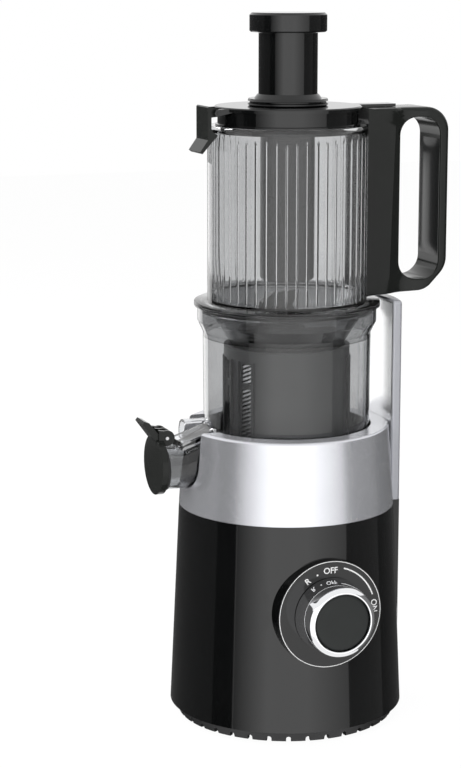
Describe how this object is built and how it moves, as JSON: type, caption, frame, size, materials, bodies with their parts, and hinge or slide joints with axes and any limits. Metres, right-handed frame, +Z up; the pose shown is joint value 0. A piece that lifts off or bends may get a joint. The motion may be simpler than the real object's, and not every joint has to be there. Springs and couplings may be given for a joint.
{
  "type": "cold press juicer",
  "caption": "Upright cold press juicer: silver and black motor base, smoked juice bowl with auger, tall hopper with side handle, lid and pusher.",
  "frame": {"origin": "on the drive axis, at the standing surface under the feet", "axes": "+Z up along the drive axis; the speed knob faces -Y; the handle and rear column are towards +X; the juice spout points towards -X"},
  "size_m": [0.2302, 0.2006, 0.508],
  "materials": {
    "black_gloss": "gloss",
    "black_matte": "matte",
    "rubber": "matte",
    "steel": "satin",
    "zinc_steel": "satin",
    "silver_coat": "satin",
    "board_green": "matte",
    "ferrite": "matte",
    "bronze": "satin",
    "gear_nylon": "matte",
    "chrome_plate": "polished",
    "smoke_clear": "clear",
    "dark_grey": "satin",
    "ultem_dark": "satin",
    "soft_grey": "matte"
  },
  "bodies": {
    "base": {"base_shell": "black_gloss", "base_plate": "black_matte", "rubber_feet": "rubber", "base_screws": "steel", "silver_band": "silver_coat", "column_cover": "silver_coat", "bowl_seat": "black_matte", "shaft_seal": "rubber", "interlock_sensor": "board_green", "cord_gland": "black_matte", "gland_nut": "black_matte", "bowl_well": "black_matte", "dial_plate": "black_gloss", "selector_switch": "black_matte", "control_board": "board_green", "chassis_plate": "zinc_steel", "motor_can": "zinc_steel", "motor_magnets": "ferrite", "motor_bushes": "bronze", "motor_screws": "steel", "gear_housing": "gear_nylon", "housing_screws": "steel", "countershaft": "steel", "drive_bushes": "bronze"},
    "motor": {"motor_rotor": "steel", "motor_pinion": "steel", "cooling_fan": "gear_nylon"},
    "reduction": {"reduction_wheel": "gear_nylon"},
    "drive": {"output_gear": "steel", "drive_shaft": "steel"},
    "knob": {"knob_spindle": "steel", "knob_ring": "chrome_plate", "knob_cap": "black_gloss"},
    "bowl": {"juice_bowl": "smoke_clear", "bowl_collar": "smoke_clear", "bowl_spout": "smoke_clear", "pulp_outlet": "smoke_clear", "bowl_seal": "rubber", "pulp_plug": "rubber", "spout_cap_pin": "steel", "strainer_frame": "dark_grey", "strainer_mesh": "steel"},
    "auger": {"auger": "ultem_dark", "auger_wing": "ultem_dark", "auger_socket": "steel"},
    "spout_cap": {"spout_cap": "black_gloss", "spout_cap_seal": "rubber"},
    "hopper": {"hopper": "smoke_clear", "hopper_funnel": "smoke_clear", "hopper_seal": "rubber", "hopper_handle": "dark_grey", "grip_insert": "soft_grey", "handle_magnet": "ferrite"},
    "lid": {"lid": "black_gloss", "chute_ring": "black_gloss", "latch_pin": "steel"},
    "latch": {"lid_latch": "dark_grey"},
    "pusher": {"pusher": "black_gloss", "pusher_cap": "black_gloss"}
  },
  "joints": [
    {"name": "motor_spin", "type": "hinge", "parent": "base", "child": "motor", "pos_m": [0, 0, 0.06], "axis": [0, 0, 1], "continuous": true},
    {"name": "reduction_spin", "type": "hinge", "parent": "base", "child": "reduction", "pos_m": [0, 0.036, 0.11], "axis": [0, 0, 1], "continuous": true},
    {"name": "drive_spin", "type": "hinge", "parent": "base", "child": "drive", "pos_m": [0, 0, 0.15], "axis": [0, 0, 1], "continuous": true},
    {"name": "knob_turn", "type": "hinge", "parent": "base", "child": "knob", "pos_m": [0, -0.1, 0.0945], "axis": [0, 1, 0], "range_deg": [-40, 80]},
    {"name": "bowl_lift", "type": "slide", "parent": "base", "child": "bowl", "axis": [0, 0, 1], "range_m": [0, 0.07]},
    {"name": "auger_spin", "type": "hinge", "parent": "bowl", "child": "auger", "pos_m": [0, 0, 0.23], "axis": [0, 0, 1], "continuous": true},
    {"name": "spout_cap_flip", "type": "hinge", "parent": "bowl", "child": "spout_cap", "pos_m": [-0.0945, 0, 0.2125], "axis": [0, 1, 0], "range_deg": [0, 105]},
    {"name": "hopper_lift", "type": "slide", "parent": "bowl", "child": "hopper", "axis": [0, 0, 1], "range_m": [0, 0.06]},
    {"name": "lid_lift", "type": "slide", "parent": "hopper", "child": "lid", "axis": [0, 0, 1], "range_m": [0, 0.14]},
    {"name": "latch_swing", "type": "hinge", "parent": "lid", "child": "latch", "pos_m": [-0.0575, 0, 0.44], "axis": [0, 1, 0], "range_deg": [0, 40]},
    {"name": "pusher_lift", "type": "slide", "parent": "lid", "child": "pusher", "axis": [0, 0, 1], "range_m": [0, 0.19]}
  ],
  "couplings": [
    {"joint": "reduction_spin", "follows": "motor_spin", "ratio": -0.2},
    {"joint": "drive_spin", "follows": "motor_spin", "ratio": 0.066667},
    {"joint": "auger_spin", "follows": "motor_spin", "ratio": 0.066667}
  ]
}
